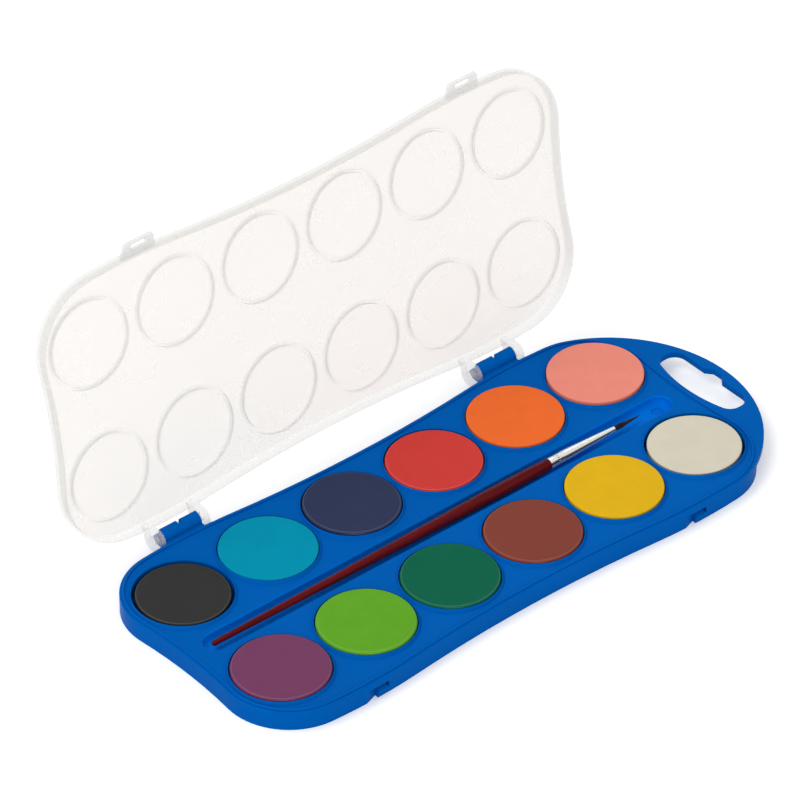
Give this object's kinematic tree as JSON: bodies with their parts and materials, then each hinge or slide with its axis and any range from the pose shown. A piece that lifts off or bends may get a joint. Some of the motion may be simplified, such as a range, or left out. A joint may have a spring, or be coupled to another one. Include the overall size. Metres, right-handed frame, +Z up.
{
  "type": "watercolour paint set",
  "caption": "Open watercolour set: waisted tray of round paint tablets with a brush in its trough, a hang hole plate and a clear hinged lid with snap latches.",
  "frame": {"origin": "middle of the tablet grid, on the plane the tray stands on", "axes": "+X along the length to the handle plate, +Y to the hinges and the open lid, +Z up"},
  "size_m": [0.2171, 0.1168, 0.105],
  "materials": {
    "tray": "opaque blue moulded polystyrene, lightly glossy",
    "lid": "clear milky moulded polypropylene",
    "paint_black": "pressed watercolour tablet, black, matt with a slight sheen",
    "paint_cyan": "pressed watercolour tablet, cyan, matt with a slight sheen",
    "paint_navy": "pressed watercolour tablet, navy, matt with a slight sheen",
    "paint_red": "pressed watercolour tablet, red, matt with a slight sheen",
    "paint_orange": "pressed watercolour tablet, orange, matt with a slight sheen",
    "paint_salmon": "pressed watercolour tablet, salmon, matt with a slight sheen",
    "paint_purple": "pressed watercolour tablet, purple, matt with a slight sheen",
    "paint_lime": "pressed watercolour tablet, lime, matt with a slight sheen",
    "paint_green": "pressed watercolour tablet, green, matt with a slight sheen",
    "paint_brown": "pressed watercolour tablet, brown, matt with a slight sheen",
    "paint_yellow": "pressed watercolour tablet, yellow, matt with a slight sheen",
    "paint_white": "pressed watercolour tablet, white, matt with a slight sheen",
    "brush_handle": "dark red lacquered wood",
    "brush_ferrule": "drawn bright tube",
    "brush_bristles": "dark brown hair"
  },
  "bodies": {
    "tray": {"tray": "tray"},
    "lid": {"lid": "lid"},
    "latch_left": {"latch_left": "lid"},
    "latch_right": {"latch_right": "lid"},
    "brush": {"brush_handle": "brush_handle", "brush_ferrule": "brush_ferrule", "brush_bristles": "brush_bristles"},
    "tablet_black": {"paint_black": "paint_black"},
    "tablet_cyan": {"paint_cyan": "paint_cyan"},
    "tablet_navy": {"paint_navy": "paint_navy"},
    "tablet_red": {"paint_red": "paint_red"},
    "tablet_orange": {"paint_orange": "paint_orange"},
    "tablet_salmon": {"paint_salmon": "paint_salmon"},
    "tablet_purple": {"paint_purple": "paint_purple"},
    "tablet_lime": {"paint_lime": "paint_lime"},
    "tablet_green": {"paint_green": "paint_green"},
    "tablet_brown": {"paint_brown": "paint_brown"},
    "tablet_yellow": {"paint_yellow": "paint_yellow"},
    "tablet_white": {"paint_white": "paint_white"}
  },
  "joints": [
    {"name": "lid_hinge", "type": "hinge", "parent": "tray", "child": "lid", "pos_m": [0, 0.04928, 0.00605], "axis": [-1, 0, 0], "range_deg": [-100, 80]},
    {"name": "latch_left_fold", "type": "hinge", "parent": "lid", "child": "latch_left", "pos_m": [-0.062, 0.06647, 0.09924], "axis": [-1, 0, 0], "range_deg": [-75, 15]},
    {"name": "latch_right_fold", "type": "hinge", "parent": "lid", "child": "latch_right", "pos_m": [0.0647, 0.06648, 0.09928], "axis": [-1, 0, 0], "range_deg": [-75, 15]},
    {"name": "brush_lift", "type": "slide", "parent": "tray", "child": "brush", "axis": [0, 0, 1], "range_m": [0, 0.02]},
    {"name": "tablet_black_lift", "type": "slide", "parent": "tray", "child": "tablet_black", "axis": [0, 0, 1], "range_m": [0, 0.02]},
    {"name": "tablet_cyan_lift", "type": "slide", "parent": "tray", "child": "tablet_cyan", "axis": [0, 0, 1], "range_m": [0, 0.02]},
    {"name": "tablet_navy_lift", "type": "slide", "parent": "tray", "child": "tablet_navy", "axis": [0, 0, 1], "range_m": [0, 0.02]},
    {"name": "tablet_red_lift", "type": "slide", "parent": "tray", "child": "tablet_red", "axis": [0, 0, 1], "range_m": [0, 0.02]},
    {"name": "tablet_orange_lift", "type": "slide", "parent": "tray", "child": "tablet_orange", "axis": [0, 0, 1], "range_m": [0, 0.02]},
    {"name": "tablet_salmon_lift", "type": "slide", "parent": "tray", "child": "tablet_salmon", "axis": [0, 0, 1], "range_m": [0, 0.02]},
    {"name": "tablet_purple_lift", "type": "slide", "parent": "tray", "child": "tablet_purple", "axis": [0, 0, 1], "range_m": [0, 0.02]},
    {"name": "tablet_lime_lift", "type": "slide", "parent": "tray", "child": "tablet_lime", "axis": [0, 0, 1], "range_m": [0, 0.02]},
    {"name": "tablet_green_lift", "type": "slide", "parent": "tray", "child": "tablet_green", "axis": [0, 0, 1], "range_m": [0, 0.02]},
    {"name": "tablet_brown_lift", "type": "slide", "parent": "tray", "child": "tablet_brown", "axis": [0, 0, 1], "range_m": [0, 0.02]},
    {"name": "tablet_yellow_lift", "type": "slide", "parent": "tray", "child": "tablet_yellow", "axis": [0, 0, 1], "range_m": [0, 0.02]},
    {"name": "tablet_white_lift", "type": "slide", "parent": "tray", "child": "tablet_white", "axis": [0, 0, 1], "range_m": [0, 0.02]}
  ]
}
